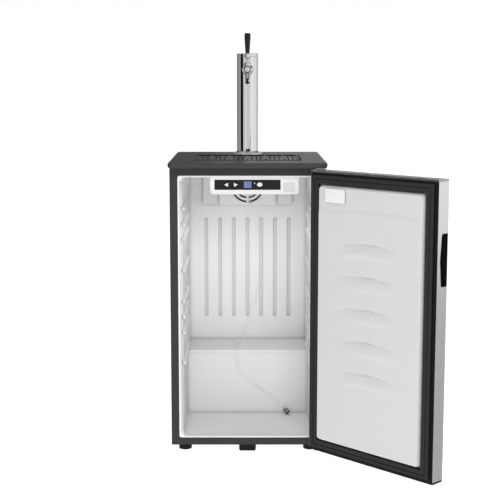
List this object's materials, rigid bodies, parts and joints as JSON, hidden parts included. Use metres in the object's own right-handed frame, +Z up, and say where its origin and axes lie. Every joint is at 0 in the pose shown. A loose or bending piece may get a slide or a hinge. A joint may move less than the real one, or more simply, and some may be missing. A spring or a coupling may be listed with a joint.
{
  "type": "kegerator",
  "caption": "Compact free-standing beer refrigerator with a hinged door, drip tray worktop and a chrome tower carrying a lever faucet.",
  "frame": {"origin": "centre of the underside of the front support block, on the floor, in the middle of the cabinet width", "axes": "+Z up, -Y out of the front of the cabinet, +X to the right as seen from the front; the door is drawn open"},
  "size_m": [0.7519, 0.8178, 1.2338],
  "materials": {
    "cabinet_paint": "satin",
    "worktop_paint": "satin",
    "foam": "matte",
    "liner_plastic": "satin",
    "panel_plastic": "satin",
    "black_plastic": "matte",
    "gloss_black": "glossy",
    "zinc_steel": "satin",
    "stainless_steel": "brushed",
    "cap_metal": "satin",
    "chrome": "mirror",
    "rubber": "matte",
    "gasket_rubber": "satin",
    "white_key": "satin",
    "display": "glossy",
    "circuit_board": "satin",
    "compressor_black": "satin",
    "vinyl": "glossy",
    "aluminium": "satin"
  },
  "bodies": {
    "cabinet": {"cabinet_shell": "cabinet_paint", "insulation_foam": "foam", "inner_liner": "liner_plastic", "base_frame": "zinc_steel", "rear_cover": "cabinet_paint", "front_support_block": "black_plastic", "worktop": "worktop_paint", "evaporator_cover": "liner_plastic", "fan_grille": "liner_plastic", "fan_motor": "black_plastic", "evaporator_plate": "aluminium", "control_housing": "panel_plastic", "control_fascia": "gloss_black", "display_window": "display", "status_led": "white_key", "control_board": "circuit_board", "interior_light_lens": "panel_plastic", "compressor": "compressor_black", "compressor_mount": "rubber", "condenser": "compressor_black", "power_cord_gland": "rubber", "upper_hinge_bracket": "zinc_steel", "lower_hinge_bracket": "zinc_steel", "tower_flange": "chrome", "tower_column": "chrome", "tower_cap": "chrome", "faucet_shank": "chrome", "shank_flange": "chrome", "shank_nut": "zinc_steel", "coupling_nut": "chrome", "faucet_body": "chrome", "faucet_bonnet": "chrome", "line_grommet": "rubber", "tower_line": "vinyl", "beer_line": "vinyl", "line_connector": "zinc_steel"},
    "door": {"door_skin": "stainless_steel", "door_top_cap": "cap_metal", "door_bottom_cap": "black_plastic", "door_foam": "foam", "door_frame": "black_plastic", "door_gasket": "gasket_rubber", "door_liner": "liner_plastic", "door_liner_plate": "panel_plastic", "pocket_handle": "black_plastic", "upper_door_bush": "white_key", "lower_door_bush": "white_key"},
    "tap_lever": {"faucet_lever": "chrome", "tap_handle": "gloss_black"},
    "plunger": {"faucet_plunger": "stainless_steel"},
    "fan": {"fan_rotor": "black_plastic"},
    "down_key": {"down_button": "white_key"},
    "up_key": {"up_button": "white_key"},
    "power_key": {"power_button": "white_key"},
    "tray": {"drip_tray": "gloss_black"},
    "grate": {"drip_grate": "gloss_black"},
    "front_left_leveller": {"front_left_foot": "black_plastic"},
    "front_right_leveller": {"front_right_foot": "black_plastic"},
    "rear_left_leveller": {"rear_left_foot": "black_plastic"},
    "rear_right_leveller": {"rear_right_foot": "black_plastic"}
  },
  "joints": [
    {"name": "door_swing", "type": "hinge", "parent": "cabinet", "child": "door", "pos_m": [0.209, -0.0589, 0.43], "axis": [0, 0, 1], "range_deg": [-134.3, 0]},
    {"name": "tap_pull", "type": "hinge", "parent": "cabinet", "child": "tap_lever", "pos_m": [0, 0.247, 1.1385], "axis": [1, 0, 0], "range_deg": [0, 25]},
    {"name": "plunger_slide", "type": "slide", "parent": "cabinet", "child": "plunger", "axis": [0, 1, 0], "range_m": [0, 0.0063]},
    {"name": "fan_spin", "type": "hinge", "parent": "cabinet", "child": "fan", "pos_m": [0, 0.358, 0.7565], "axis": [0, 1, 0], "continuous": true},
    {"name": "down_press", "type": "slide", "parent": "cabinet", "child": "down_key", "axis": [0, 1, 0], "range_m": [0, 0.0015], "stiffness_N_per_m": 400},
    {"name": "up_press", "type": "slide", "parent": "cabinet", "child": "up_key", "axis": [0, 1, 0], "range_m": [0, 0.0015], "stiffness_N_per_m": 400},
    {"name": "power_press", "type": "slide", "parent": "cabinet", "child": "power_key", "axis": [0, 1, 0], "range_m": [0, 0.0015], "stiffness_N_per_m": 400},
    {"name": "tray_lift", "type": "slide", "parent": "cabinet", "child": "tray", "axis": [0, 0, 1], "range_m": [0, 0.08]},
    {"name": "grate_lift", "type": "slide", "parent": "tray", "child": "grate", "axis": [0, 0, 1], "range_m": [0, 0.04]},
    {"name": "front_left_level", "type": "slide", "parent": "cabinet", "child": "front_left_leveller", "axis": [0, 0, -1], "range_m": [0, 0.01]},
    {"name": "front_right_level", "type": "slide", "parent": "cabinet", "child": "front_right_leveller", "axis": [0, 0, -1], "range_m": [0, 0.01]},
    {"name": "rear_left_level", "type": "slide", "parent": "cabinet", "child": "rear_left_leveller", "axis": [0, 0, -1], "range_m": [0, 0.01]},
    {"name": "rear_right_level", "type": "slide", "parent": "cabinet", "child": "rear_right_leveller", "axis": [0, 0, -1], "range_m": [0, 0.01]}
  ],
  "couplings": [
    {"joint": "plunger_slide", "follows": "tap_pull", "m_per_rad": 0.014}
  ]
}
